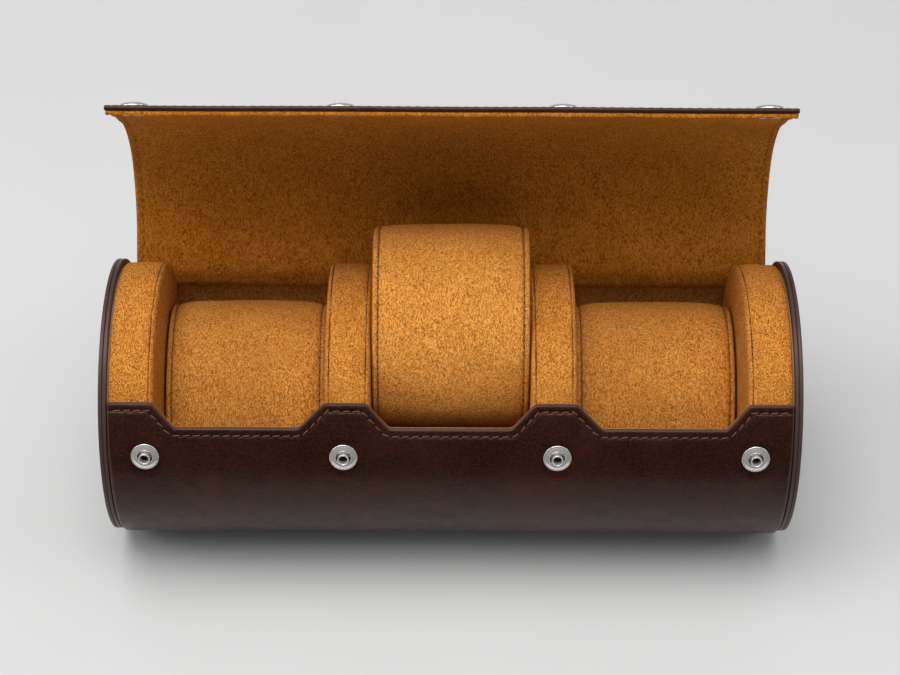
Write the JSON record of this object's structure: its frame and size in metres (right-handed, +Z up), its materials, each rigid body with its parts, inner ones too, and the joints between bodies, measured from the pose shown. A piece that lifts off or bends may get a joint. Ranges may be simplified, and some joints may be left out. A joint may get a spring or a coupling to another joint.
{
  "type": "watch travel case",
  "caption": "Roll-shaped leather travel case, shown open: a curling snap flap over padded bays that each hold a removable oval suede cushion for a wristwatch.",
  "frame": {"origin": "middle of the flat that the roll stands on, on the supporting surface", "axes": "+X along the roll to the viewer's right, +Y towards the flap hinge at the back, +Z up"},
  "size_m": [0.22, 0.1001, 0.1588],
  "materials": {
    "wrap_leather": "satin, fine grain",
    "cap_leather": "satin, fine grain",
    "flap_leather": "satin, fine grain",
    "board": "matte",
    "thread_brown": "waxed thread",
    "thread_tan": "waxed thread",
    "nickel": "polished nickel",
    "rivet_steel": "plain",
    "foam": "matte",
    "cushion_suede": "napped suede",
    "pad_suede": "napped suede",
    "lining_suede": "napped suede",
    "flap_suede": "napped suede"
  },
  "bodies": {
    "case": {"outer_shell": "wrap_leather", "shell_board": "board", "front_stitching": "thread_brown", "snap_studs": "nickel", "stud_rivets": "rivet_steel", "end_cap_left": "cap_leather", "end_cap_right": "cap_leather", "end_welt_left": "cap_leather", "end_welt_right": "cap_leather", "end_board_left": "board", "end_board_right": "board", "end_pad_cover_left": "pad_suede", "end_pad_cover_right": "pad_suede", "end_pad_core_left": "foam", "end_pad_core_right": "foam", "divider_cover_left": "pad_suede", "divider_cover_right": "pad_suede", "divider_core_left": "foam", "divider_core_right": "foam", "trough_padding_left": "foam", "trough_padding_middle": "foam", "trough_padding_right": "foam", "trough_lining_left": "lining_suede", "trough_lining_middle": "lining_suede", "trough_lining_right": "lining_suede"},
    "flap_1": {"flap_leather_1": "flap_leather", "flap_lining_1": "flap_suede", "flap_stitches_1": "thread_tan"},
    "flap_2": {"flap_leather_2": "flap_leather", "flap_lining_2": "flap_suede", "flap_stitches_2": "thread_tan"},
    "flap_3": {"flap_leather_3": "flap_leather", "flap_lining_3": "flap_suede", "flap_stitches_3": "thread_tan"},
    "flap_4": {"flap_leather_4": "flap_leather", "flap_lining_4": "flap_suede", "flap_stitches_4": "thread_tan"},
    "flap_5": {"flap_leather_5": "flap_leather", "flap_lining_5": "flap_suede", "flap_stitches_5": "thread_tan", "snap_caps": "nickel", "snap_sockets": "nickel"},
    "cushion_left": {"cushion_wrap_left": "cushion_suede", "cushion_core_left": "foam", "cushion_ends_left": "cushion_suede"},
    "cushion_middle": {"cushion_wrap_middle": "cushion_suede", "cushion_core_middle": "foam", "cushion_ends_middle": "cushion_suede"},
    "cushion_right": {"cushion_wrap_right": "cushion_suede", "cushion_core_right": "foam", "cushion_ends_right": "cushion_suede"}
  },
  "joints": [
    {"name": "flap_fold", "type": "hinge", "parent": "case", "child": "flap_1", "pos_m": [0, 0.04107, 0.05949], "axis": [1, 0, 0], "range_deg": [-7.5, 62.5]},
    {"name": "flap_curl_2", "type": "hinge", "parent": "flap_1", "child": "flap_2", "pos_m": [0, 0.05255, 0.0895], "axis": [1, 0, 0], "range_deg": [-0.18, 1.5]},
    {"name": "flap_curl_3", "type": "hinge", "parent": "flap_2", "child": "flap_3", "pos_m": [0, 0.04379, 0.11815], "axis": [1, 0, 0], "range_deg": [-1.08, 9]},
    {"name": "flap_curl_4", "type": "hinge", "parent": "flap_3", "child": "flap_4", "pos_m": [0, 0.02918, 0.13496], "axis": [1, 0, 0], "range_deg": [-2.22, 18.5]},
    {"name": "flap_press", "type": "hinge", "parent": "flap_4", "child": "flap_5", "pos_m": [0, 0.01624, 0.14682], "axis": [1, 0, 0], "range_deg": [0, 19.5]},
    {"name": "middle_cushion_slide", "type": "slide", "parent": "case", "child": "cushion_middle", "axis": [0, 0, 1], "range_m": [-0.034, 0.0041]},
    {"name": "left_cushion_slide", "type": "slide", "parent": "case", "child": "cushion_left", "axis": [0, -0.225, 0.9744], "range_m": [0, 0.087]},
    {"name": "right_cushion_slide", "type": "slide", "parent": "case", "child": "cushion_right", "axis": [0, -0.225, 0.9744], "range_m": [0, 0.087]}
  ],
  "couplings": [
    {"joint": "flap_curl_2", "follows": "flap_fold", "ratio": 0.024},
    {"joint": "flap_curl_3", "follows": "flap_fold", "ratio": 0.144},
    {"joint": "flap_curl_4", "follows": "flap_fold", "ratio": 0.296},
    {"joint": "middle_cushion_slide", "follows": "flap_fold", "m_per_rad": -0.031169}
  ]
}
